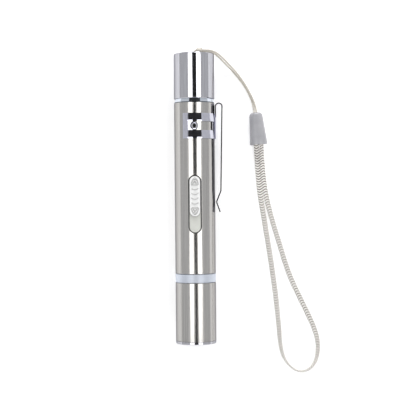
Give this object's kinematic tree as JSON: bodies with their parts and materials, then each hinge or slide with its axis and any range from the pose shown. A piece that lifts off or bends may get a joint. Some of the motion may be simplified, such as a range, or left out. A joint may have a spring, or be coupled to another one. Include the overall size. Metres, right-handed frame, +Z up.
{
  "type": "pen torch",
  "caption": "Slim metal pen torch with a thumb slide, a spring pocket clip, a USB plug under its pull-off tail cap and a braided wrist strap.",
  "frame": {"origin": "on the table under the middle of the torch, strap left out", "axes": "+Y along the torch from the lamp end to the tail cap, +X towards the pocket clip, +Z up through the thumb slide"},
  "size_m": [0.0508, 0.1138, 0.0154],
  "materials": {
    "polished_steel": "polished stainless steel",
    "mirror_steel": "polished stainless steel tube",
    "brushed_steel": "stainless steel brushed along the tube",
    "satin_aluminium": "bead-blasted and clear anodised aluminium",
    "polished_aluminium": "aluminium turned bright and anodised clear",
    "clip_steel": "spring steel, satin nickel plated",
    "tinned_metal": "tinned or nickel plated sheet and wire",
    "battery_steel": "drawn nickel plated steel",
    "brass": "turned brass",
    "gold_contact": "gold flashed copper alloy",
    "white_plastic": "moulded white ABS, satin gloss",
    "black_plastic": "moulded black ABS",
    "chip_black": "epoxy moulded chip body",
    "circuit_board": "glass epoxy board with green solder mask",
    "battery_film": "blue shrink film",
    "wire_cover": "PVC covered stranded wire",
    "clear_window": "clear acrylic",
    "clear_epoxy": "clear epoxy lamp body",
    "tinted_epoxy": "faintly violet epoxy lamp body",
    "rubber_seal": "black silicone",
    "ferrule_pvc": "moulded grey PVC",
    "nylon_cord": "fine round nylon cord",
    "nylon_braid": "flat tubular nylon braid, off-white"
  },
  "bodies": {
    "torch": {"front_bezel": "polished_steel", "front_window": "clear_window", "window_seal": "rubber_seal", "emitter_holder": "black_plastic", "white_led": "clear_epoxy", "uv_led": "tinted_epoxy", "laser_barrel": "brass", "laser_lens": "clear_window", "emitter_leads": "tinned_metal", "driver_board": "circuit_board", "driver_parts": "chip_black", "head_tube": "brushed_steel", "head_ring": "satin_aluminium", "body_tube": "brushed_steel", "collar_ring": "polished_aluminium", "battery_can": "battery_steel", "battery_wrap": "battery_film", "battery_nub": "battery_steel", "battery_tabs": "tinned_metal", "battery_carrier": "black_plastic", "main_board": "circuit_board", "charge_chip": "chip_black", "board_parts": "tinned_metal", "charge_led": "tinted_epoxy", "head_wires": "wire_cover", "switch_case": "black_plastic", "switch_plate": "black_plastic", "switch_track": "white_plastic", "clip_band": "clip_steel", "clip_screw": "polished_steel", "clip_nut": "tinned_metal", "usb_shell": "tinned_metal", "usb_tongue": "white_plastic", "usb_contacts": "gold_contact", "usb_pins": "gold_contact", "usb_holder": "black_plastic"},
    "slider": {"switch_knob": "white_plastic", "switch_lever": "black_plastic"},
    "clip_spring": {"clip_arm": "clip_steel"},
    "tail_cap": {"cap_shell": "mirror_steel", "cap_end": "polished_steel", "lanyard_pin": "polished_steel", "lanyard_cord": "nylon_cord", "ferrule": "ferrule_pvc", "wrist_strap": "nylon_braid"}
  },
  "joints": [
    {"name": "thumb_slide", "type": "slide", "parent": "torch", "child": "slider", "axis": [0, 1, 0], "range_m": [-0.00538, 0]},
    {"name": "clip_flex", "type": "hinge", "parent": "torch", "child": "clip_spring", "pos_m": [0.00704, 0.033, 0.00753], "axis": [0, 0, 1], "range_deg": [0, 5], "stiffness_Nm_per_rad": 2.3, "springref_deg": -0.86},
    {"name": "cap_pull", "type": "slide", "parent": "torch", "child": "tail_cap", "axis": [0, 1, 0], "range_m": [0, 0.014]}
  ]
}
